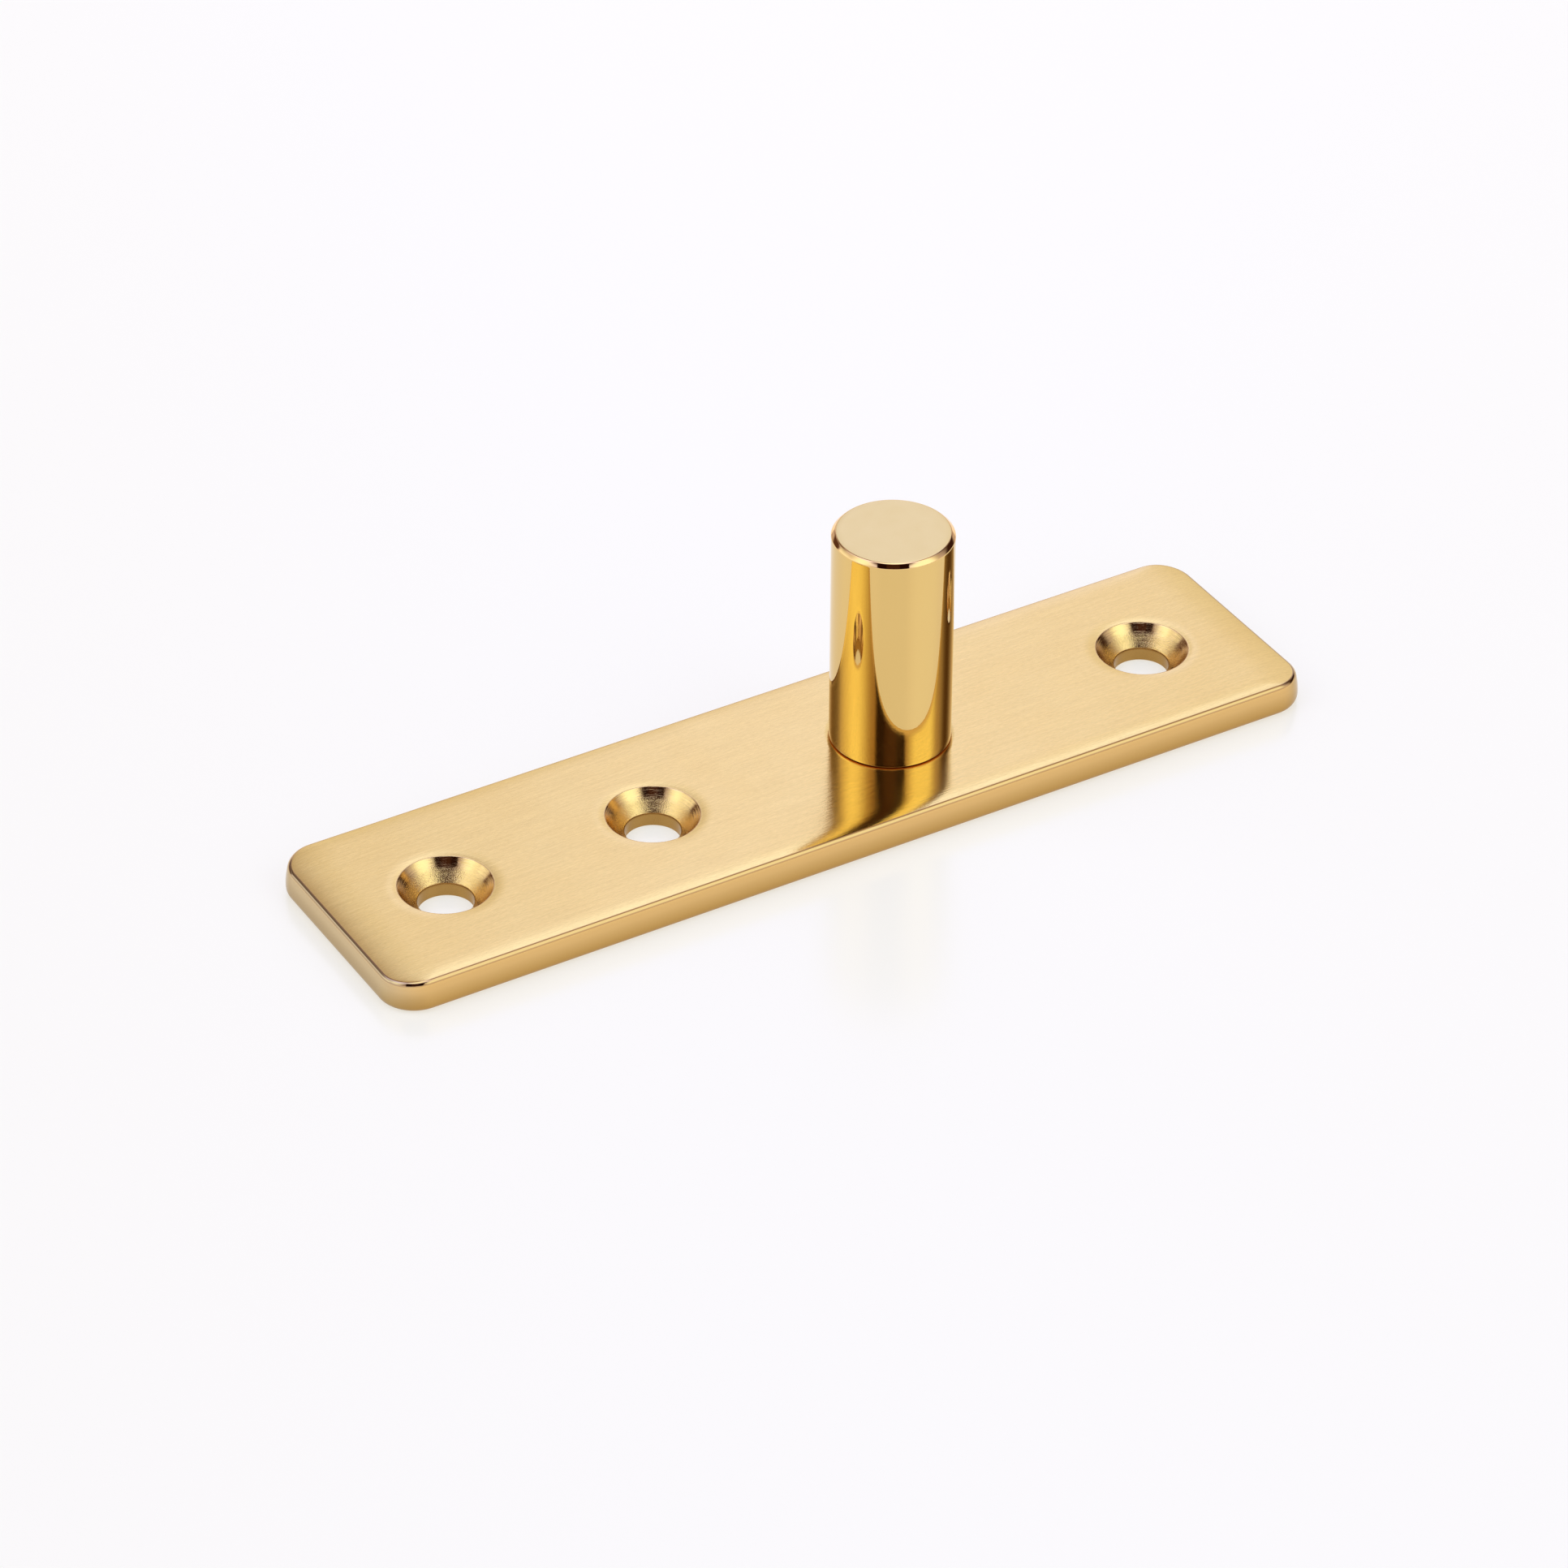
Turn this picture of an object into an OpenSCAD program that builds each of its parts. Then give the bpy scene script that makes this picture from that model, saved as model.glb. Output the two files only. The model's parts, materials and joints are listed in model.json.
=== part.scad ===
// Fixed half of a pivot hinge: a flat brass screw-on plate with a turned pivot pin standing on it.
// The pin is a separate turned piece. Its spigot passes through the plate and is staked flush into a
// countersink on the underside. The socket of the hinge's other half drops over the pin and turns on it.
// Millimetres. +Z runs up the pin and +X towards the single-screw end of the plate.
// The origin is on the pin's axis, in the plane of the plate's underside.

/* [Plate] */
// Length of the plate
plate_len = 120; // [104:1:200]
// Width of the plate
plate_w = 30; // [22:1:60]
// Thickness of the plate
plate_t = 4; // [3:0.1:8]
// Radius of the plate's four corners, seen from above
corner_r = 4.5; // [2:0.5:10]
// Radius of the rounding along the plate's top edges
top_edge_r = 0.8; // [0.2:0.1:1.3]
// Radius of the rounding along the plate's bottom edges
bottom_edge_r = 0.8; // [0.2:0.1:1.3]

/* [Screw holes] */
// Diameter of the hole under each countersink
screw_hole_d = 6.4; // [3:0.1:8]
// Diameter of each countersink at the plate's top face
countersink_d = 10.8; // [9:0.1:12]
// Included angle of each countersink
countersink_angle = 90; // [82, 90, 100]
// Distance from each end of the plate to the centre of its end screw
end_margin = 14; // [10:0.5:17]
// Distance between the two screws on the long side of the pin
screw_pair_gap = 26.4; // [15:0.1:40]

/* [Pin] */
// Diameter of the pin
pin_d = 14; // [12.5:0.5:20]
// Height of the pin above the plate
pin_h = 27.6; // [10:0.1:60]
// Distance from the single-screw end of the plate to the pin's axis
pin_from_end = 48.4; // [36:0.1:55]
// Width of the chamfer round the pin's top
pin_chamfer = 0.5; // [0.2:0.1:2]
// Width of the small edge break round the pin's shoulder
shoulder_break = 0.15; // [0.05:0.05:0.5]

/* [Staked joint] */
// Diameter of the spigot that passes through the plate
spigot_d = 10; // [6:0.1:11]
// Width of the staked flare round the spigot's end, which is also its depth
stake_flare = 1; // [0.5:0.1:1.5]
// Radial gap between the spigot and its hole, where 0 is a press fit
spigot_gap = 0; // [0:0.01:0.05]

/* [Hidden] */
$fn = 96;

// How far a cutter runs past the face that it opens through
cut_past = 1;

// Ends of the plate, measured from the pin's axis
plate_x_max = pin_from_end;
plate_x_min = pin_from_end - plate_len;

// Screw centres along X: the two on the long side of the pin, then the one on the short side
outer_screw_x = plate_x_min + end_margin;
screw_x = [outer_screw_x, outer_screw_x + screw_pair_gap, plate_x_max - end_margin];

// Slope of a countersink's wall, as radius gained per millimetre of height
countersink_slope = tan(countersink_angle / 2);
countersink_depth = (countersink_d - screw_hole_d) / 2 / countersink_slope;

satin_brass = [0.90, 0.76, 0.50];
polished_brass = [0.93, 0.72, 0.32];

// What a rounding of radius r takes off a square corner, seen from the centre of the rounding
module corner_bite(r) {
    difference() {
        square(r + cut_past);
        circle(r);
    }
}

// Section through one edge of the plate, from X = 0 out to the rounded edge at X = reach
module edge_section(reach) {
    difference() {
        square([reach, plate_t]);
        translate([reach - top_edge_r, plate_t - top_edge_r])
            corner_bite(top_edge_r);
        translate([reach - bottom_edge_r, bottom_edge_r])
            mirror([0, 1, 0])
                corner_bite(bottom_edge_r);
    }
}

// A straight run of edge: the section faces +X and runs for the given length along Y
module edge_run(reach, run) {
    translate([0, run / 2, 0])
        rotate([90, 0, 0])
            linear_extrude(height = run)
                edge_section(reach);
}

// The plate before drilling, centred on X = 0
module plate_blank() {
    straight_x = plate_len - 2 * corner_r;
    straight_y = plate_w - 2 * corner_r;
    // the two long halves of the plate, each with one long edge
    for (turn = [90, 270])
        rotate([0, 0, turn])
            edge_run(plate_w / 2, straight_x);
    // the two ends, each with a short edge and two corners
    for (turn = [0, 180])
        rotate([0, 0, turn])
            translate([straight_x / 2, 0, 0]) {
                edge_run(corner_r, straight_y);
                for (flip = [0, 1])
                    mirror([0, flip, 0])
                        translate([0, straight_y / 2, 0])
                            rotate_extrude(angle = 90)
                                edge_section(corner_r);
            }
}

// Cutter for one countersunk screw hole, on its own axis
module screw_hole() {
    translate([0, 0, -cut_past])
        cylinder(h = plate_t + 2 * cut_past, d = screw_hole_d);
    translate([0, 0, plate_t - countersink_depth])
        cylinder(
            h = countersink_depth + cut_past,
            r1 = screw_hole_d / 2,
            r2 = countersink_d / 2 + cut_past * countersink_slope
        );
}

// Cutter for the pin's seat: the spigot's hole and the countersink that the staked flare fills
module pin_seat() {
    hole_r = spigot_d / 2 + spigot_gap;
    translate([0, 0, -cut_past]) {
        cylinder(h = plate_t + 2 * cut_past, r = hole_r);
        cylinder(h = stake_flare + cut_past, r1 = hole_r + stake_flare + cut_past, r2 = hole_r);
    }
}

module pivot_plate() {
    color(satin_brass)
        difference() {
            translate([(plate_x_min + plate_x_max) / 2, 0, 0])
                plate_blank();
            for (x = screw_x)
                translate([x, 0, 0])
                    screw_hole();
            pin_seat();
        }
}

// The turned pin, as one revolved outline: staked flare, spigot, shoulder, body and top chamfer
module pivot_pin() {
    spigot_r = spigot_d / 2;
    pin_r = pin_d / 2;
    pin_top = plate_t + pin_h;
    color(polished_brass)
        rotate_extrude()
            polygon([
                [0, 0],
                [spigot_r + stake_flare, 0],
                [spigot_r, stake_flare],
                [spigot_r, plate_t],
                [pin_r - shoulder_break, plate_t],
                [pin_r, plate_t + shoulder_break],
                [pin_r, pin_top - pin_chamfer],
                [pin_r - pin_chamfer, pin_top],
                [0, pin_top]
            ]);
}

pivot_plate();
pivot_pin();
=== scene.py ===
"""The fixed half of a pivot hinge: a brushed brass plate and its mirror-polished pin, in a soft studio."""

import json
import math

import bmesh
import bpy
from mathutils import Matrix, Vector
from mathutils.geometry import delaunay_2d_cdt


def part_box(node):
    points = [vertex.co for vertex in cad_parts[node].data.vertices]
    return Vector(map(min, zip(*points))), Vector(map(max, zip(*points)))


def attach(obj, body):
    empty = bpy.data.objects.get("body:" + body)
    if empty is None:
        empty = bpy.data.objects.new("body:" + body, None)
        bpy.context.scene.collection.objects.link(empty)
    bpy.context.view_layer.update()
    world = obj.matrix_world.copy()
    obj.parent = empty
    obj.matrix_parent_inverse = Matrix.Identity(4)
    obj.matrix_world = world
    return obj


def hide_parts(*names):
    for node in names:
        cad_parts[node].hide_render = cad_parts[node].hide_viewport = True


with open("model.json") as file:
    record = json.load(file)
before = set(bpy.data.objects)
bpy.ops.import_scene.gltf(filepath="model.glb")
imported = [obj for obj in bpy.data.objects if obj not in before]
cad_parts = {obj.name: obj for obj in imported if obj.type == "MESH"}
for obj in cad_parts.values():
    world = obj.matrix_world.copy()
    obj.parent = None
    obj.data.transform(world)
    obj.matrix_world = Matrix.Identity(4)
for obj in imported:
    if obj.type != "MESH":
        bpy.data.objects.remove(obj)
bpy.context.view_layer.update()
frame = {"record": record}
mounts = {m["name"]: m for m in frame["record"]["mounts"]}
MM = 0.001
MICRON = 0.001 * MM

# ---------------------------------------------------------------- sizes, taken from the frame
plate_low, plate_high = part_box("pivot_plate")
_, pin_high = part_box("pivot_pin")
PLATE_T = plate_high.z - plate_low.z
PLATE_MID_X = (plate_low.x + plate_high.x) / 2
HALF_LEN = (plate_high.x - plate_low.x) / 2
HALF_W = (plate_high.y - plate_low.y) / 2
PIN_R = mounts["pivot_pin"]["dims"]["r_mm"] * MM
SCREW_R = mounts["screw_hole_outer"]["dims"]["r_mm"] * MM
SCREW_LAND = mounts["screw_hole_outer"]["dims"]["length_mm"] * MM
SCREWS_X = [mounts[name]["pos_m"][0] for name in mounts if name.startswith("screw_hole")]

# ---------------------------------------------------------------- the solids' other sizes
CORNER_R = 4.5 * MM
SPIGOT_R = 5 * MM
STAKE_FLARE = 1 * MM
PIN_CHAMFER = 0.5 * MM
SHOULDER_BREAK = 0.15 * MM

# ---------------------------------------------------------------- sizes of the plate's finish
# polishing turns the plate's top face down towards its edges: over which width, to which slope, and how
# late (the slope grows with this power of the way). The two ends were polished longer than the sides.
SOFT_STEPS = 18
SIDE_SOFT_W = 2.9 * MM
SIDE_SOFT_TILT = math.radians(11)
SIDE_SOFT_POWER = 2.5
END_SOFT_W = 5.7 * MM
END_SOFT_TILT = math.radians(12)
END_SOFT_POWER = 2
SOFT_CORNER_R = 2.5 * MM
# then arcs take the edge over and down the side, each with its radius, the slope that it ends at and its
# steps, and the lower edge comes in under the side by EDGE_IN over the height EDGE_UNDER
EDGE_ARCS = (
    (0.55 * MM, math.radians(32), 8),
    (0.75 * MM, math.radians(58), 10),
    (0.5 * MM, math.radians(75), 6),
    (8 * MM, math.radians(90), 10),
)
ARC_STARTS = (SIDE_SOFT_TILT, *(last for _, last, _ in EDGE_ARCS[:-1]))
EDGE_IN = sum(
    radius * (math.sin(last) - math.sin(first))
    for (radius, last, _), first in zip(EDGE_ARCS, ARC_STARTS)
)
EDGE_UNDER = 1.0 * MM
EDGE_UNDER_STEPS = 16
# rings between the arcs' end and the lower edge, and rings on the flat of the underside
EDGE_SIDE_STEPS = 6
UNDERSIDE_RINGS = (EDGE_IN + 0.15 * MM, EDGE_IN + 1 * MM)
# round each countersink the face dips a little too, and the rim itself is barely broken
RIM_SOFT_W = 1.7 * MM
RIM_SOFT_TILT = math.radians(9)
RIM_SOFT_POWER = 2
RIM_SOFT_STEPS = 10
RIM_R = 0.08 * MM
RIM_STEPS = 3
# the polished band at the top of each countersink, as a share of its slope, and its steps
SINK_POLISHED = 0.3
SINK_POLISHED_STEPS = 6
# the rest of the slope has these steps, and the polish fades over the first of them
SINK_STEPS = 8
SINK_FADE = 3
# the drilled hole's upper arris, its lower one, and the rings down its wall
BORE_TOP_BREAK = 0.05 * MM
BORE_FOOT_BREAK = 0.1 * MM
BORE_STEPS = 5
# flat margins round the screw holes and the pin's seat, up to which their rings reach
HOLE_MARGIN = 0.5 * MM
SEAT_MARGIN = 0.6 * MM
STAKE_MARGIN = 0.4 * MM
# the edge is painted darker and made rougher towards its foot: painted shade, for the floor's shadow close
# under it. The wear_and_shade attribute is EDGE_DULL_SHADE_FOOT there, held to 1, and falls by 1 over each
# EDGE_DULL_SHADE_H of height
EDGE_DULL_SHADE_H = 2.3 * MM
EDGE_DULL_SHADE_FOOT = 1.15

# ---------------------------------------------------------------- sizes of the pin's finish
PIN_TOP_SOFT_W = 1.2 * MM
PIN_TOP_SOFT_TILT = math.radians(4)
PIN_TOP_SOFT_STEPS = 8
# rings on the flat of the pin's top, as shares of its radius, the first one round the middle face
PIN_TOP_RINGS = (0.02, 0.35, 0.7)
PIN_RIM_R = 0.35 * MM
PIN_RIM_STEPS = 6
# the arc of the rim starts this share of its radius inside the chamfer
PIN_RIM_REACH = 0.41
PIN_CHAMFER_R = 0.15 * MM
PIN_CHAMFER_STEPS = 4
PIN_BODY_STEPS = 12
PIN_BODY_MARGIN = 0.1 * MM
# height of the dark line at the foot of the pin
PIN_FOOT_LINE_H = 0.02 * MM

# ---------------------------------------------------------------- camera
CAMERA_AZIMUTH = math.radians(-30.884)
CAMERA_ELEVATION = math.radians(35.606)
CAMERA_ROLL = math.radians(0.386)
CAMERA_DISTANCE = 742.45 * MM
# the plate's middle lies this far right of and below the picture's centre
PLATE_OFF_RIGHT = 2.095 * MM
PLATE_OFF_DOWN = 0.814 * MM
SENSOR_W = 36
LENS = 149.68


def camera_axes():
    """The camera's right, up and back directions."""
    back = Vector((
        math.sin(CAMERA_AZIMUTH) * math.cos(CAMERA_ELEVATION),
        -math.cos(CAMERA_AZIMUTH) * math.cos(CAMERA_ELEVATION),
        math.sin(CAMERA_ELEVATION),
    ))
    level_right = Vector((0, 0, 1)).cross(back).normalized()
    level_up = back.cross(level_right)
    right = level_right * math.cos(CAMERA_ROLL) + level_up * math.sin(CAMERA_ROLL)
    up = back.cross(right)
    return right, up, back


def add_camera():
    """The camera, which looks down on the plate from in front and to the left."""
    right, up, back = camera_axes()
    plate_middle = Vector((PLATE_MID_X, 0, 0))
    place = plate_middle - right * PLATE_OFF_RIGHT + up * PLATE_OFF_DOWN + back * CAMERA_DISTANCE
    data = bpy.data.cameras.new("camera")
    data.sensor_width = SENSOR_W
    data.sensor_height = SENSOR_W
    data.lens = LENS
    camera = bpy.data.objects.new("camera", data)
    camera.matrix_world = Matrix.Translation(place) @ Matrix((right, up, back)).transposed().to_4x4()
    bpy.context.scene.collection.objects.link(camera)
    bpy.context.scene.camera = camera


# ---------------------------------------------------------------- node helpers
class Graph:
    """A node tree, with one-line ways to add nodes to it. Plain numbers and vectors may stand for links."""

    def __init__(self, tree):
        self.tree = tree
        tree.nodes.clear()

    def node(self, kind, **settings):
        made = self.tree.nodes.new(kind)
        for name, value in settings.items():
            setattr(made, name, value)
        return made

    def feed(self, socket, value):
        if isinstance(value, bpy.types.NodeSocket):
            self.tree.links.new(value, socket)
        else:
            socket.default_value = value

    def math(self, operation, *values):
        made = self.node("ShaderNodeMath", operation=operation)
        for socket, value in zip(made.inputs, values):
            self.feed(socket, value)
        return made.outputs[0]

    def vector(self, operation, *values, out=0):
        made = self.node("ShaderNodeVectorMath", operation=operation)
        for socket, value in zip(made.inputs, values):
            self.feed(socket, value)
        return made.outputs[out]

    def smooth(self, value, low, high):
        """0 below low, 1 above high, and a smooth step between."""
        made = self.node("ShaderNodeMapRange", interpolation_type="SMOOTHSTEP")
        self.feed(made.inputs["Value"], value)
        self.feed(made.inputs["From Min"], low)
        self.feed(made.inputs["From Max"], high)
        return made.outputs["Result"]

    def mix(self, factor, a, b):
        """Two numbers mixed. A Mix node keeps its numbers in inputs 2 and 3, and its colours in 6 and 7."""
        made = self.node("ShaderNodeMix", data_type="FLOAT")
        self.feed(made.inputs[0], factor)
        self.feed(made.inputs[2], a)
        self.feed(made.inputs[3], b)
        return made.outputs[0]

    def mix_colour(self, factor, a, b, blend="MIX"):
        made = self.node("ShaderNodeMix", data_type="RGBA", blend_type=blend)
        self.feed(made.inputs[0], factor)
        self.feed(made.inputs[6], a)
        self.feed(made.inputs[7], b)
        return made.outputs[2]

    def bump(self, height, depth, normal=None):
        made = self.node("ShaderNodeBump")
        made.inputs["Strength"].default_value = 1.0
        made.inputs["Distance"].default_value = depth
        self.feed(made.inputs["Height"], height)
        if normal is not None:
            self.feed(made.inputs["Normal"], normal)
        return made.outputs[0]

    def noise(self, vector, scale, detail=2.0, roughness=0.5):
        made = self.node("ShaderNodeTexNoise", noise_dimensions="3D")
        self.feed(made.inputs["Vector"], vector)
        self.feed(made.inputs["Scale"], scale)
        self.feed(made.inputs["Detail"], detail)
        self.feed(made.inputs["Roughness"], roughness)
        return made.outputs["Fac"]


# ---------------------------------------------------------------- studio
# A pale overhead tent reaches down behind the object as a narrow back wall. Two softboxes stand in front,
# dark gaps part them from the back wall, and the camera looks in through a dark upright slot.
# Dim parts of the studio are warm and bright parts cool. The tent's light changes from low to middle up to
# one elevation, and from middle to high up to the next, both in degrees.
TENT_LOW = (0.85, 0.80, 0.78)
TENT_MIDDLE = (0.88, 0.84, 1.15)
TENT_HIGH = (1.18, 1.25, 2.18)
TENT_MIDDLE_EL = 36
TENT_HIGH_EL = 48
# Angles are in degrees: azimuth from the camera's own, positive to its right, and elevation.
# Each panel: its middle, half width and blur, its lowest, highest and blur, and its light's colour.
PANELS = [
    ("back wall, foot", 180, 52, 8, -10, 12, 12, (0.60, 0.50, 0.55)),
    ("dim front", 0, 98, 12, 30, 50, 4, (0.41, 0.30, 0.26)),
    ("dim front, top", 0, 58, 12, 54, 70, 5, (0.15, 0.08, 0.06)),
    ("softbox right, top", 86, 16, 10, 52, 66, 5, (1.35, 1.50, 1.55)),
    ("softbox left", -70, 20, 18, 30, 54, 5, (1.36, 1.52, 1.62)),
    ("softbox left, foot", -96, 19, 4, 22, 33, 6, (1.38, 1.50, 1.58)),
    ("softbox right", 64, 26, 13, 30, 54, 5, (1.36, 1.55, 1.64)),
    ("gap left", -140, 22, 24, 26, 60, 8, (0.30, 0.20, 0.16)),
    ("gap left, core", -128, 18, 16, 28, 39, 5, (0.13, 0.10, 0.07)),
    ("gap left, top", -152, 26, 10, 50, 74, 7, (0.41, 0.30, 0.26)),
    ("gap left, foot", -133, 17, 3, 9, 24, 3, (0.11, 0.05, 0.035)),
    ("gap right", 126, 22, 20, 8, 70, 4, (0.10, 0.06, 0.04)),
    ("gap right, top", 128, 24, 18, 52, 72, 6, (0.55, 0.45, 0.41)),
    ("gap right, foot", 127, 20, 3, 9, 24, 3, (0.04, 0.015, 0.01)),
    ("back wall glow", 180, 3, 6, 8, 42, 8, (1.03, 1.05, 1.90)),
    ("overhead softbox", 0, 180, 1, 78, 100, 6, (1.6, 1.9, 2.0)),
]
# the slot, measured as tangents of the angle off the camera's own line of sight
SLOT_HALF_WIDTH = 0.42
SLOT_LOW = -0.15
SLOT_HIGH = 0.62
SLOT_BLUR = 0.02
SLOT_DARK = (0.017, 0.004, 0.002)
# the dim shape of the camera in the slot
LENS_HALF_WIDTH = 0.16
LENS_GLEAM = (0.051, 0.018, 0.011)


def band(g, value, low, high, blur):
    """1 between low and high, 0 outside, over a soft edge."""
    up = g.smooth(value, low - blur, low + blur)
    down = g.smooth(value, high + blur, high - blur)
    return g.math("MULTIPLY", up, down)


def add_studio_light():
    """The tent, its panels and the camera's slot, as one light all round."""
    world = bpy.data.worlds.new("studio")
    world.use_nodes = True
    bpy.context.scene.world = world
    g = Graph(world.node_tree)
    way = g.node("ShaderNodeTexCoord").outputs["Generated"]
    right, up, back = camera_axes()
    front = Vector((back.x, back.y, 0)).normalized()
    side = Vector((0, 0, 1)).cross(front)
    azimuth = g.math(
        "ARCTAN2",
        g.vector("DOT_PRODUCT", way, side, out=1),
        g.vector("DOT_PRODUCT", way, front, out=1),
    )
    height = g.vector("DOT_PRODUCT", way, Vector((0, 0, 1)), out=1)
    elevation = g.math("ARCSINE", height)
    middle = g.smooth(elevation, 0.0, math.radians(TENT_MIDDLE_EL))
    high = g.smooth(elevation, math.radians(TENT_MIDDLE_EL), math.radians(TENT_HIGH_EL))
    colour = g.mix_colour(middle, (*TENT_LOW, 1), (*TENT_MIDDLE, 1))
    colour = g.mix_colour(high, colour, (*TENT_HIGH, 1))
    for _, centre, half_width, blur, bottom, top, rise, shine in PANELS:
        off = g.math("SUBTRACT", azimuth, math.radians(centre))
        off = g.math("ABSOLUTE", g.math("WRAP", off, math.pi, -math.pi))
        across = g.smooth(off, math.radians(half_width + blur), math.radians(half_width - blur))
        upright = band(g, elevation, math.radians(bottom), math.radians(top), math.radians(rise))
        colour = g.mix_colour(g.math("MULTIPLY", across, upright), colour, (*shine, 1))
    ahead = g.vector("DOT_PRODUCT", way, back, out=1)
    u = g.math("DIVIDE", g.vector("DOT_PRODUCT", way, right, out=1), ahead)
    v = g.math("DIVIDE", g.vector("DOT_PRODUCT", way, up, out=1), ahead)
    lens = band(g, u, -LENS_HALF_WIDTH, LENS_HALF_WIDTH, SLOT_BLUR)
    slot = g.math(
        "MULTIPLY",
        band(g, u, -SLOT_HALF_WIDTH, SLOT_HALF_WIDTH, SLOT_BLUR),
        band(g, v, SLOT_LOW, SLOT_HIGH, SLOT_BLUR),
    )
    slot = g.math("MULTIPLY", slot, g.math("GREATER_THAN", ahead, 0.0))
    colour = g.mix_colour(slot, colour, g.mix_colour(lens, (*SLOT_DARK, 1), (*LENS_GLEAM, 1)))
    light = g.node("ShaderNodeBackground")
    g.feed(light.inputs["Color"], colour)
    out = g.node("ShaderNodeOutputWorld")
    g.feed(out.inputs["Surface"], light.outputs[0])


FLOOR_SIZE = 6.0
FLOOR_GAP = 0.02 * MM
FLOOR_ROUGHNESS = 0.2
FLOOR_COLOUR = (0.40, 0.38, 0.34, 1)
FLOOR_GLOW = (0.64, 0.635, 0.585, 1)


def add_floor():
    """A pale translucent table top that glows a little from below, as a product photographer's does."""
    bm = bmesh.new()
    bmesh.ops.create_grid(bm, x_segments=1, y_segments=1, size=FLOOR_SIZE / 2)
    mesh = bpy.data.meshes.new("floor")
    bm.to_mesh(mesh)
    bm.free()
    floor = bpy.data.objects.new("floor", mesh)
    floor.location.z = plate_low.z - FLOOR_GAP
    bpy.context.scene.collection.objects.link(floor)
    material = bpy.data.materials.new("pale_table")
    material.use_nodes = True
    g = Graph(material.node_tree)
    shader = g.node("ShaderNodeBsdfPrincipled")
    shader.inputs["Base Color"].default_value = FLOOR_COLOUR
    shader.inputs["Roughness"].default_value = FLOOR_ROUGHNESS
    shader.inputs["Emission Color"].default_value = FLOOR_GLOW
    shader.inputs["Emission Strength"].default_value = 1.0
    out = g.node("ShaderNodeOutputMaterial")
    g.feed(out.inputs["Surface"], shader.outputs[0])
    floor.data.materials.append(material)


# ---------------------------------------------------------------- brass
# brass in its warmer patches, as a share of its own colour
WARM_SHIFT = (0.94, 0.86, 0.72)


def brass(
    name, colour, roughness, anisotropy, marks, cloud,
    streaks=(), dull_and_shade=None, speckle=None, end_light_tint=None,
):
    """Brass with fine marks.

    The mesh's grain attribute gives millimetres along and across the marks, and its across attribute the
    way across them.
    marks: for each layer, cycles per millimetre along and across, and depth in micrometres.
    streaks: for each layer the same two scales, and how far the colour changes from streak to streak.
    cloud: slow changes, as cycles per millimetre, how much they change the colour, and the roughness.
    dull_and_shade: colour and roughness where wear_and_shade is 1; on the plate's edge the dark colour is
    painted shade.
    speckle: cycles per millimetre and depth of a grain without direction, where wear_and_shade is 1.
    end_light_tint: multiplies the colour where the end attribute is 1: painted light that makes the ends
    cooler than the sides."""
    material = bpy.data.materials.new(name)
    material.use_nodes = True
    g = Graph(material.node_tree)
    grain = g.node("ShaderNodeAttribute", attribute_name="grain").outputs["Vector"]
    wear_and_shade = g.node("ShaderNodeAttribute", attribute_name="wear_and_shade").outputs["Fac"]
    shader = g.node("ShaderNodeBsdfPrincipled")
    shader.inputs["Metallic"].default_value = 1.0
    shader.inputs["Anisotropic"].default_value = anisotropy
    if anisotropy:
        across = g.node("ShaderNodeAttribute", attribute_name="across")
        g.feed(shader.inputs["Tangent"], across.outputs["Vector"])
    normal = None
    for along, crosswise, depth in marks:
        stretched = g.vector("MULTIPLY", grain, Vector((along, along, crosswise)))
        lines = g.noise(stretched, 1.0, detail=3.0, roughness=0.65)
        normal = g.bump(lines, depth * MICRON, normal)
    if speckle:
        fineness, depth = speckle
        spots = g.noise(grain, fineness, detail=2.0, roughness=0.6)
        normal = g.bump(g.math("MULTIPLY", spots, wear_and_shade), depth * MICRON, normal)
    g.feed(shader.inputs["Normal"], normal)
    size, tint, uneven = cloud
    patches = g.noise(grain, size, detail=3.0)
    warm = [part * shift for part, shift in zip(colour, WARM_SHIFT)]
    tone = g.mix_colour(g.math("MULTIPLY", patches, tint * 2), (*colour, 1), (*warm, 1))
    rough = g.mix(patches, roughness * (1 - uneven), roughness * (1 + uneven))
    for along, crosswise, change in streaks:
        stretched = g.vector("MULTIPLY", grain, Vector((along, along, crosswise)))
        lines = g.noise(stretched, 1.0, detail=3.0, roughness=0.6)
        shade = g.math("ADD", g.math("MULTIPLY", lines, change * 2), 1 - change)
        tone = g.mix_colour(1.0, tone, shade, blend="MULTIPLY")
    # where wear_and_shade is 1 the colour turns dull_and_shade; on the plate's edge this is painted shade
    if dull_and_shade:
        dull_and_shade_colour, dull_roughness = dull_and_shade
        tone = g.mix_colour(wear_and_shade, tone, (*dull_and_shade_colour, 1))
        rough = g.mix(wear_and_shade, rough, dull_roughness)
    # the ends' colour is tinted cooler than the sides': painted light
    if end_light_tint:
        end = g.node("ShaderNodeAttribute", attribute_name="end").outputs["Fac"]
        tone = g.mix_colour(end, tone, g.mix_colour(1.0, tone, (*end_light_tint, 1), blend="MULTIPLY"))
    g.feed(shader.inputs["Base Color"], tone)
    g.feed(shader.inputs["Roughness"], rough)
    out = g.node("ShaderNodeOutputMaterial")
    g.feed(out.inputs["Surface"], shader.outputs[0])
    return material


# ---------------------------------------------------------------- mesh helpers
# what the flat fill takes: faces inside the outer ring only, and points this near, in millimetres, as one
FILL_INSIDE = 1
FILL_NEAR = 1e-6


def soft_turn(reach, width, tilt, steps, power=3):
    """(distance, drop) pairs where a flat face turns down ever faster, from reach + width in to reach. The
    slope grows with the given power of the way travelled, and ends at tilt."""
    points = []
    for i in range(steps + 1):
        t = i / steps
        drop = width * math.tan(tilt) * t ** (power + 1) / (power + 1)
        points.append((reach + width * (1 - t), drop))
    return points


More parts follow.
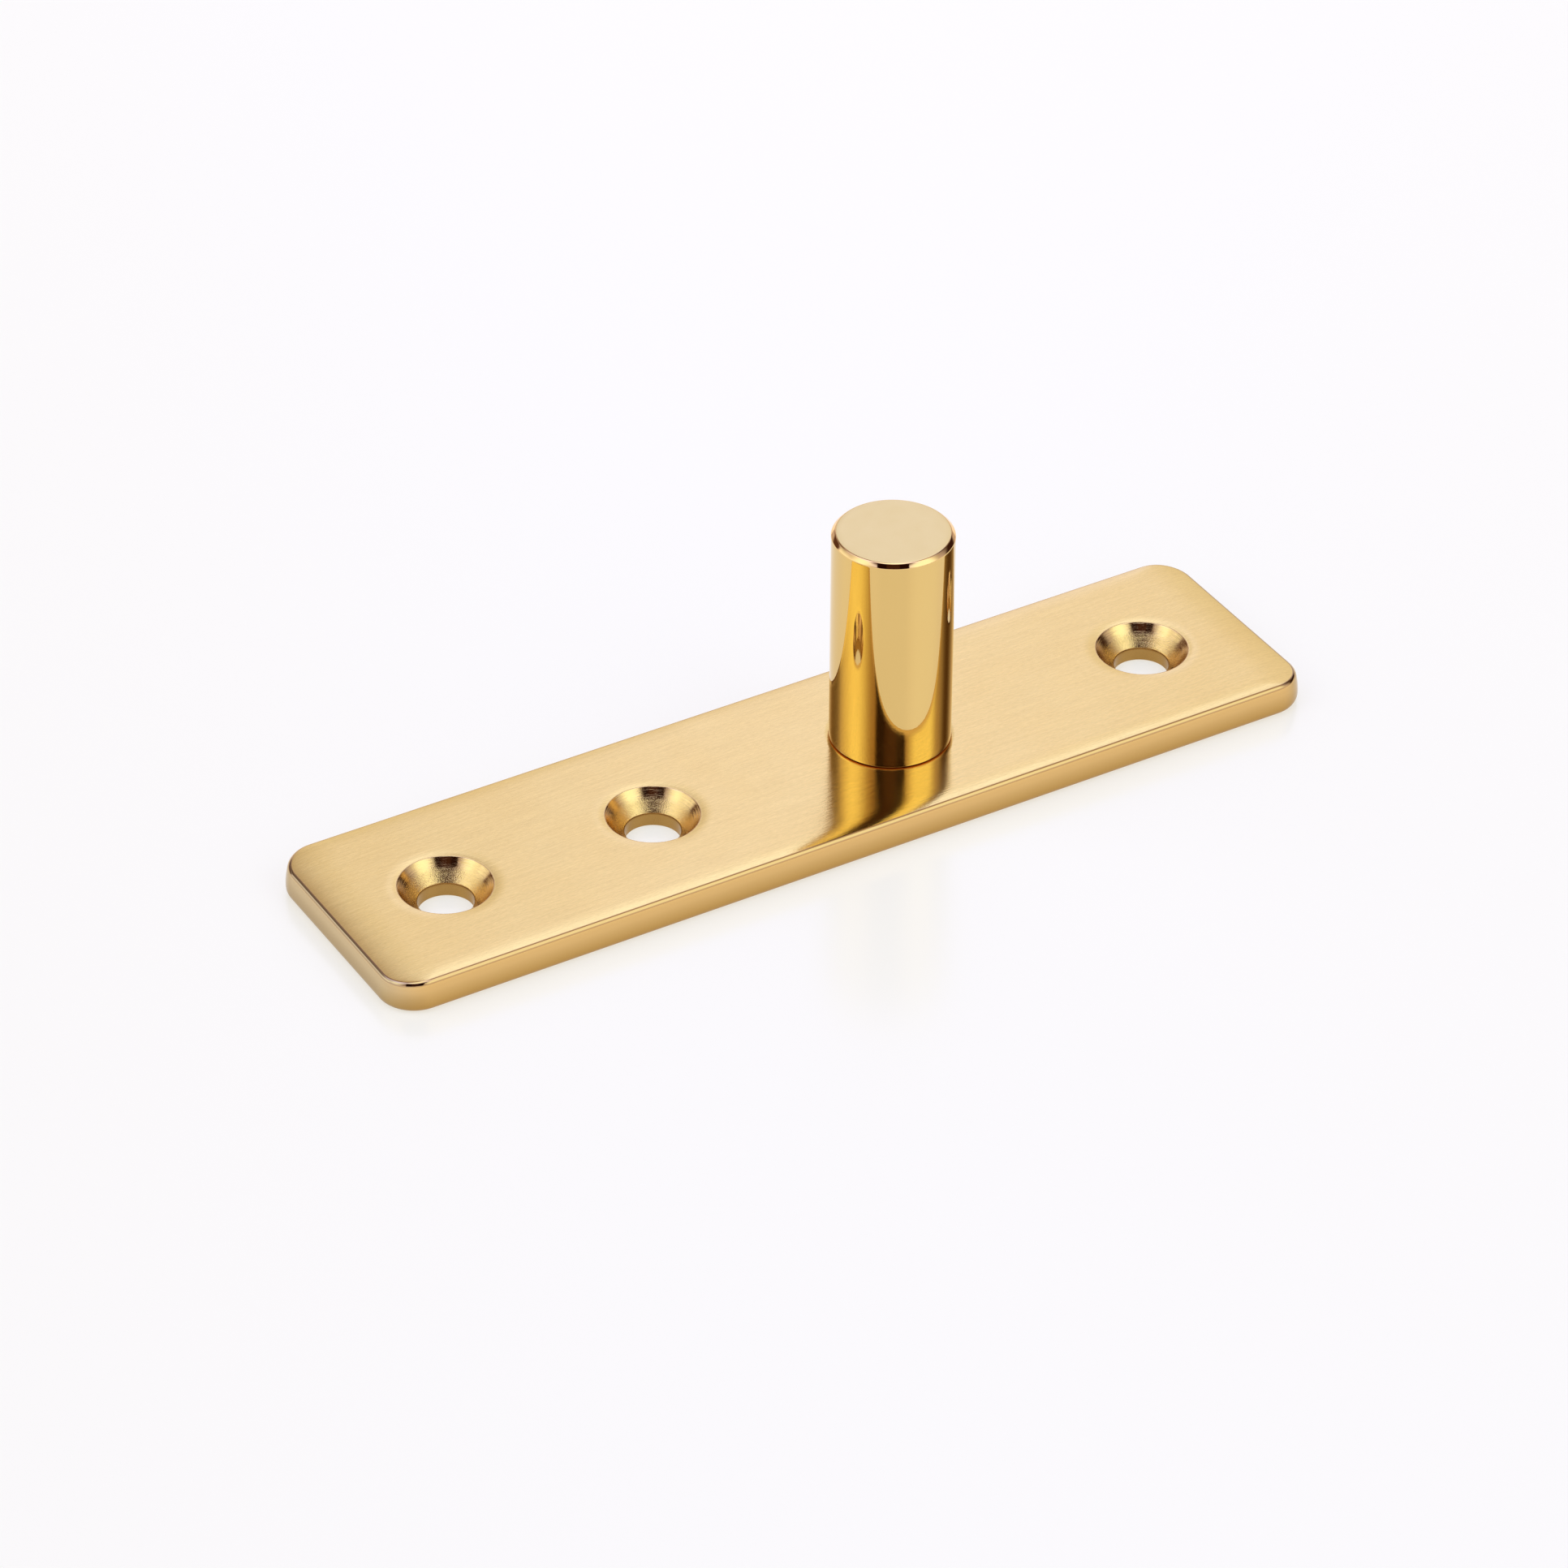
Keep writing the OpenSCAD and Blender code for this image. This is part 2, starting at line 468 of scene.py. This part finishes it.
def rounded(before, corner, after, radius, steps):
    """Points on an arc that rounds off the corner of a profile."""
    corner = Vector(corner)
    back = (Vector(before) - corner).normalized()
    on = (Vector(after) - corner).normalized()
    half = back.angle(on) / 2
    start = corner + back * (radius / math.tan(half))
    centre = corner + (back + on).normalized() * (radius / math.sin(half))
    sweep = math.pi - 2 * half
    spoke = start - centre
    turning = 1 if spoke.x * back.y - spoke.y * back.x < 0 else -1
    points = []
    for i in range(steps + 1):
        a = turning * sweep * i / steps
        c, s = math.cos(a), math.sin(a)
        points.append(tuple(centre + Vector((spoke.x * c - spoke.y * s, spoke.x * s + spoke.y * c))))
    return points


def between(first, last, steps):
    """Points of a profile on a straight line from first to last, with both ends."""
    points = []
    for i in range(steps + 1):
        t = i / steps
        points.append((first[0] + (last[0] - first[0]) * t, first[1] + (last[1] - first[1]) * t))
    return points


def dressed(points, finish, wear_and_shade=0):
    """A profile's points with their finish and wear."""
    return [(radius, z, finish, wear_and_shade) for radius, z in points]


class Skin:
    """Collects the faces of one piece, with the grain, across, wear_and_shade and end attributes of its
    points.
    """

    def __init__(self):
        self.bm = bmesh.new()
        layers = self.bm.verts.layers
        self.grain = layers.float_vector.new("grain")
        self.across = layers.float_vector.new("across")
        self.wear_and_shade = layers.float.new("wear_and_shade")
        self.end = layers.float.new("end")

    def vert(self, place, grain, across, wear_and_shade=0.0, end=0.0):
        v = self.bm.verts.new(place)
        v[self.grain] = grain
        v[self.across] = across
        v[self.wear_and_shade] = wear_and_shade
        v[self.end] = end
        return v

    def face(self, corners, material):
        made = self.bm.faces.new(corners)
        made.material_index = material
        made.smooth = True

    def bridge(self, ring_a, ring_b, material):
        """Quads between two closed rings of equal length."""
        n = len(ring_a)
        for i in range(n):
            j = (i + 1) % n
            self.face((ring_a[i], ring_a[j], ring_b[j], ring_b[i]), material)

    def fill(self, outer, holes, material):
        """Flat triangles between a closed ring and the rings of its holes."""
        loops = [outer, *holes]
        verts = [v for loop in loops for v in loop]
        edges = []
        start = 0
        for loop in loops:
            n = len(loop)
            edges += [(start + i, start + (i + 1) % n) for i in range(n)]
            start += n
        flat = [Vector((v.co.x, v.co.y)) / MM for v in verts]
        _, _, faces, origins, _, _ = delaunay_2d_cdt(flat, edges, [], FILL_INSIDE, FILL_NEAR)
        for face in faces:
            corners = [verts[origins[i][0]] for i in face]
            middle = sum((c.co for c in corners), Vector()) / 3
            if not any(inside_loop(middle, hole) for hole in holes):
                self.face(corners, material)

    def turned(self, x, profile, steps, flat_grain=()):
        """Rings of a shape turned about the upright line through x. Each profile point is its radius,
        height, finish and wear. Finishes in flat_grain keep the plate's own brush marks."""
        rings = []
        run = 0.0
        for k, (radius, z, finish, wear_and_shade) in enumerate(profile):
            before = profile[max(k - 1, 0)]
            after = profile[min(k + 1, len(profile) - 1)]
            fall = Vector((after[0] - before[0], after[1] - before[1])).normalized()
            run += math.dist((radius, z), before[:2])
            ring = []
            for i in range(steps):
                a = 2 * math.pi * i / steps
                c, s = math.cos(a), math.sin(a)
                place = (x + radius * c, radius * s, z)
                if finish in flat_grain:
                    grain = (place[0] / MM, 0, place[1] / MM)
                    across = (0, 1, 0)
                else:
                    grain = (c * radius / MM, s * radius / MM, run / MM + x / MM)
                    across = (fall.x * c, fall.x * s, fall.y)
                ring.append(self.vert(place, grain, across, wear_and_shade))
            rings.append(ring)
        for k, (a, b) in enumerate(zip(rings, rings[1:])):
            self.bridge(a, b, profile[k + 1][2])
        return rings

    def finish(self, name, materials):
        bmesh.ops.recalc_face_normals(self.bm, faces=self.bm.faces)
        mesh = bpy.data.meshes.new(name)
        self.bm.to_mesh(mesh)
        self.bm.free()
        piece = bpy.data.objects.new(name, mesh)
        bpy.context.scene.collection.objects.link(piece)
        for material in materials:
            mesh.materials.append(material)
        return piece


def inside_loop(point, loop):
    """True if the point lies inside the closed loop, seen from above."""
    inside = False
    for i, a in enumerate(loop):
        b = loop[i - 1]
        if (a.co.y > point.y) != (b.co.y > point.y):
            cross = (b.co.x - a.co.x) * (point.y - a.co.y) / (b.co.y - a.co.y) + a.co.x
            if point.x < cross:
                inside = not inside
    return inside


# ---------------------------------------------------------------- plate
TOP, EDGE, SINK, BORE = range(4)
CORNER_STEPS = 20
LONG_STEPS = 60
SHORT_STEPS = 14
HOLE_STEPS = 128


def outline(side_inset, end_inset, corner_r):
    """Points round a rectangle with round corners, each as (point, way outwards). It lies inside the
    plate's own outline by the two insets."""
    cx = HALF_LEN - end_inset - corner_r
    cy = HALF_W - side_inset - corner_r
    corners = [Vector(c) for c in ((cx, cy), (-cx, cy), (-cx, -cy), (cx, -cy))]
    points = []
    for k, corner in enumerate(corners):
        for i in range(CORNER_STEPS + 1):
            a = math.radians(90 * (k + i / CORNER_STEPS))
            way = Vector((math.cos(a), math.sin(a)))
            points.append((corner + way * corner_r, way))
        start = points[-1][0]
        stop = corners[(k + 1) % 4] + way * corner_r
        steps = LONG_STEPS if k % 2 == 0 else SHORT_STEPS
        for i in range(1, steps):
            points.append((start.lerp(stop, i / steps), way))
    return points


def edge_profile():
    """Rings from the flat of the top face round to the flat of the underside. Each is (inset from the
    sides, inset from the ends, corner radius, height along the sides, height along the ends, finish)."""
    rings = []
    side = soft_turn(EDGE_IN, SIDE_SOFT_W, SIDE_SOFT_TILT, SOFT_STEPS, SIDE_SOFT_POWER)
    end = soft_turn(EDGE_IN, END_SOFT_W, END_SOFT_TILT, SOFT_STEPS, END_SOFT_POWER)
    for i, ((side_in, side_drop), (end_in, end_drop)) in enumerate(zip(side, end)):
        corner_r = SOFT_CORNER_R + (CORNER_R - EDGE_IN - SOFT_CORNER_R) * i / SOFT_STEPS
        rings.append((side_in, end_in, corner_r, PLATE_T - side_drop, PLATE_T - end_drop, TOP))
    side_z, end_z = rings[-1][3:5]
    inset = EDGE_IN
    drop = 0
    for (radius, last, steps), first in zip(EDGE_ARCS, ARC_STARTS):
        for i in range(steps):
            before = first + (last - first) * i / steps
            after = first + (last - first) * (i + 1) / steps
            inset -= radius * (math.sin(after) - math.sin(before))
            drop += radius * (math.cos(before) - math.cos(after))
            rings.append((inset, inset, CORNER_R - inset, side_z - drop, end_z - drop, EDGE))
    side_z, end_z = rings[-1][3:5]
    for i in range(1, EDGE_SIDE_STEPS):
        t = i / EDGE_SIDE_STEPS
        side_now = side_z + (EDGE_UNDER - side_z) * t
        end_now = end_z + (EDGE_UNDER - end_z) * t
        rings.append((0, 0, CORNER_R, side_now, end_now, EDGE))
    for i in range(EDGE_UNDER_STEPS + 1):
        a = math.radians(90 * i / EDGE_UNDER_STEPS)
        inset = EDGE_IN * (1 - math.cos(a))
        z = EDGE_UNDER * (1 - math.sin(a))
        rings.append((inset, inset, CORNER_R - inset, z, z, EDGE))
    for inset in UNDERSIDE_RINGS:
        rings.append((inset, inset, CORNER_R - inset, 0, 0, EDGE))
    return rings


def edge_ring(skin, side_inset, end_inset, corner_r, side_z, end_z, finish):
    """One ring of the plate's edge. Its height eases from the sides' to the ends' round the corners."""
    ring = []
    run = 0.0
    points = outline(side_inset, end_inset, corner_r)
    last = points[0][0]
    for spot, way in points:
        run += (spot - last).length
        last = spot
        end = way.x ** 2
        z = side_z + (end_z - side_z) * end
        place = Vector((PLATE_MID_X + spot.x, spot.y, z))
        if finish == TOP:
            ring.append(skin.vert(place, (place.x / MM, 0, place.y / MM), (0, 1, 0)))
        else:
            # wear_and_shade grows towards the edge's foot: the darker colour there is painted shade
            wear_and_shade = min(1.0, max(0.0, EDGE_DULL_SHADE_FOOT - z / EDGE_DULL_SHADE_H))
            ring.append(skin.vert(place, (run / MM, 0, z / MM), (0, 0, 1), wear_and_shade, end))
    return ring


def sink_profile():
    """(radius, height, finish, wear) of a countersunk hole, from the flat of the top face to the underside.
    It is as wide at the dipped face as the frame's is at the flat one, so it goes deeper by the dip."""
    soft = soft_turn(0, RIM_SOFT_W, RIM_SOFT_TILT, RIM_SOFT_STEPS, RIM_SOFT_POWER)
    dip = soft[-1][1]
    sink_depth = PLATE_T - SCREW_LAND
    rim_z = PLATE_T - dip
    rim_r = SCREW_R + sink_depth
    rim = rounded((rim_r + 1, rim_z), (rim_r, rim_z), (rim_r - 1, rim_z - 1), RIM_R, RIM_STEPS)
    polish_end = (rim_r - sink_depth * SINK_POLISHED, rim_z - sink_depth * SINK_POLISHED)
    land = SCREW_LAND - dip
    sink_foot = (SCREW_R + BORE_TOP_BREAK, land + BORE_TOP_BREAK)
    bore_top = (SCREW_R, land - BORE_TOP_BREAK)
    bore_end = (SCREW_R, BORE_FOOT_BREAK + BORE_TOP_BREAK)
    under_r = SCREW_R + BORE_FOOT_BREAK
    points = dressed([(rim_r + RIM_R + out, PLATE_T - drop) for out, drop in soft], TOP)
    points += dressed(rim[1:], SINK)
    points += dressed(between(rim[-1], polish_end, SINK_POLISHED_STEPS)[1:-1], SINK)
    for i, spot in enumerate(between(polish_end, sink_foot, SINK_STEPS)):
        points += dressed([spot], SINK, min(1, i / SINK_FADE))
    points += dressed(between(bore_top, bore_end, BORE_STEPS), BORE)
    # the last ring of the wall lies close above the break of its foot
    points += dressed([(SCREW_R, BORE_FOOT_BREAK)], BORE)
    points += dressed([(under_r, 0), (under_r + HOLE_MARGIN, 0)], EDGE, 1)
    return points


def seat_profile():
    """(radius, height, finish, wear) of the pin's seat: the spigot's hole, and the countersink that the
    staked flare fills."""
    flare_r = SPIGOT_R + STAKE_FLARE
    points = dressed([(PIN_R + SEAT_MARGIN, PLATE_T), (SPIGOT_R, PLATE_T)], TOP)
    points += dressed([(SPIGOT_R, STAKE_FLARE), (flare_r, 0)], SINK)
    points += dressed([(flare_r + STAKE_MARGIN, 0)], EDGE, 1)
    return points


def add_plate(materials):
    """The plate: its edge all round, its holes, and flat faces between them above and below."""
    skin = Skin()
    rings = []
    for ring in edge_profile():
        rings.append(edge_ring(skin, *ring))
        if len(rings) > 1:
            skin.bridge(rings[-2], rings[-1], ring[-1])
    holes = [(x, sink_profile()) for x in SCREWS_X] + [(0, seat_profile())]
    top_loops, under_loops = [], []
    for x, profile in holes:
        made = skin.turned(x, profile, HOLE_STEPS, flat_grain=(TOP,))
        top_loops.append(made[0])
        under_loops.append(made[-1])
    skin.fill(rings[0], top_loops, TOP)
    skin.fill(rings[-1], under_loops, EDGE)
    return skin.finish("plate", materials)


# ---------------------------------------------------------------- pin
PIN_STEPS = 256
CROWN, BARREL, BEVEL = range(3)


def pin_profile():
    """(radius, height, finish, wear) from the middle of the top face to the middle of the underside."""
    top_z = pin_high.z
    soft = soft_turn(0, PIN_TOP_SOFT_W, PIN_TOP_SOFT_TILT, PIN_TOP_SOFT_STEPS)
    lip = top_z - soft[-1][1]
    chamfer_top = (PIN_R - PIN_CHAMFER, lip)
    chamfer_foot = (PIN_R, top_z - PIN_CHAMFER)
    foot = PLATE_T + SHOULDER_BREAK
    rim = rounded((0, lip), chamfer_top, chamfer_foot, PIN_RIM_R, PIN_RIM_STEPS)
    brow = rounded(chamfer_top, chamfer_foot, (PIN_R, foot), PIN_CHAMFER_R, PIN_CHAMFER_STEPS)
    soft_end = chamfer_top[0] - PIN_RIM_R * PIN_RIM_REACH
    body_top = (PIN_R, brow[-1][1] - PIN_BODY_MARGIN)
    body_foot = (PIN_R, foot + PIN_BODY_MARGIN)
    points = dressed([(share * chamfer_top[0], top_z) for share in PIN_TOP_RINGS], CROWN)
    points += dressed([(soft_end - out, top_z - drop) for out, drop in soft], CROWN)
    # the chamfer's material, with its painted highlight, starts and ends half way along the arcs that meet
    # it
    points += dressed(rim[1:3], CROWN)
    points += dressed(rim[3:] + brow[:3], BEVEL)
    points += dressed(brow[3:], BARREL)
    points += dressed(between(body_top, body_foot, PIN_BODY_STEPS), BARREL)
    # the foot is darker in a thin line at the shoulder, and below it the spigot is hidden in the plate
    points += dressed([(PIN_R, foot + PIN_FOOT_LINE_H)], BARREL)
    points += dressed([(PIN_R, foot), (PIN_R - SHOULDER_BREAK, PLATE_T), (SPIGOT_R, PLATE_T)], BARREL, 1)
    points += dressed([(SPIGOT_R, STAKE_FLARE), (SPIGOT_R + STAKE_FLARE, 0)], CROWN)
    points += dressed([(SPIGOT_R, 0), (SPIGOT_R * PIN_TOP_RINGS[0], 0)], CROWN)
    return points


def add_pin(materials):
    """The pin with its spigot, turned as one closed skin."""
    skin = Skin()
    rings = skin.turned(0, pin_profile(), PIN_STEPS)
    skin.face(rings[0], CROWN)
    skin.face(rings[-1], CROWN)
    return skin.finish("pin", materials)


# ---------------------------------------------------------------- the scene
bpy.context.scene.view_settings.view_transform = "Standard"
add_camera()
add_studio_light()
add_floor()

brushed = brass(
    "brushed_brass", (0.925, 0.70, 0.23), 0.105, 0.95,
    marks=[(0.10, 1.9, 8.0), (0.25, 3.6, 8.0), (0.6, 6.0, 9.0)],
    streaks=[(0.15, 2.2, 0.10), (1.5, 7.0, 0.15)],
    cloud=(0.12, 0.28, 0.15),
)
# the edge's dull_and_shade colour darkens its foot as painted shade, and its roughness rises there
edge_satin = brass(
    "edge_satin", (0.68, 0.44, 0.17), 0.08, 0.5,
    marks=[(0.2, 5.0, 4.0)],
    # end_light_tint paints the ends cooler than the sides, as painted light
    cloud=(0.3, 0.1, 0.2), dull_and_shade=((0.48, 0.27, 0.07), 0.25), end_light_tint=(0.86, 1.0, 1.45),
)
turned = brass(
    "turned_countersink", (0.92, 0.645, 0.26), 0.11, 0.3,
    marks=[(0.15, 6.0, 22.0), (1.0, 9.0, 8.0)],
    cloud=(0.6, 0.2, 0.3), dull_and_shade=((0.90, 0.62, 0.225), 0.15), speckle=(7.0, 36.0),
)
# the bore wall's dark colour is painted shade, for the shadow down in the hole
drilled = brass(
    "drilled_bore_shaded", (0.44, 0.26, 0.08), 0.25, 0.3,
    marks=[(0.15, 4.0, 8.0)],
    cloud=(0.6, 0.3, 0.3),
)
mirror = brass(
    "mirror_polish", (0.79, 0.55, 0.21), 0.03, 0.0,
    marks=[(0.1, 3.0, 0.9)],
    cloud=(0.1, 0.1, 0.1), dull_and_shade=((0.60, 0.22, 0.05), 0.3),
)
# the chamfer's colour is brighter and paler than the polished body's: a painted highlight
chamfer = brass(
    "turned_chamfer_highlight", (0.93, 0.62, 0.26), 0.04, 0.0,
    marks=[(0.2, 4.0, 0.5)],
    cloud=(0.3, 0.1, 0.1),
)
pin_top = brass(
    "satin_pin_top", (0.87, 0.70, 0.265), 0.24, 0.0,
    marks=[(1.0, 4.0, 2.5)],
    cloud=(0.35, 0.15, 0.15),
)

plate = add_plate([brushed, edge_satin, turned, drilled])
pin = add_pin([pin_top, mirror, chamfer])
for piece, node, finish in ((plate, "pivot_plate", "satin_brass"), (pin, "pivot_pin", "polished_brass")):
    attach(piece, "root")
    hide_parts(node)
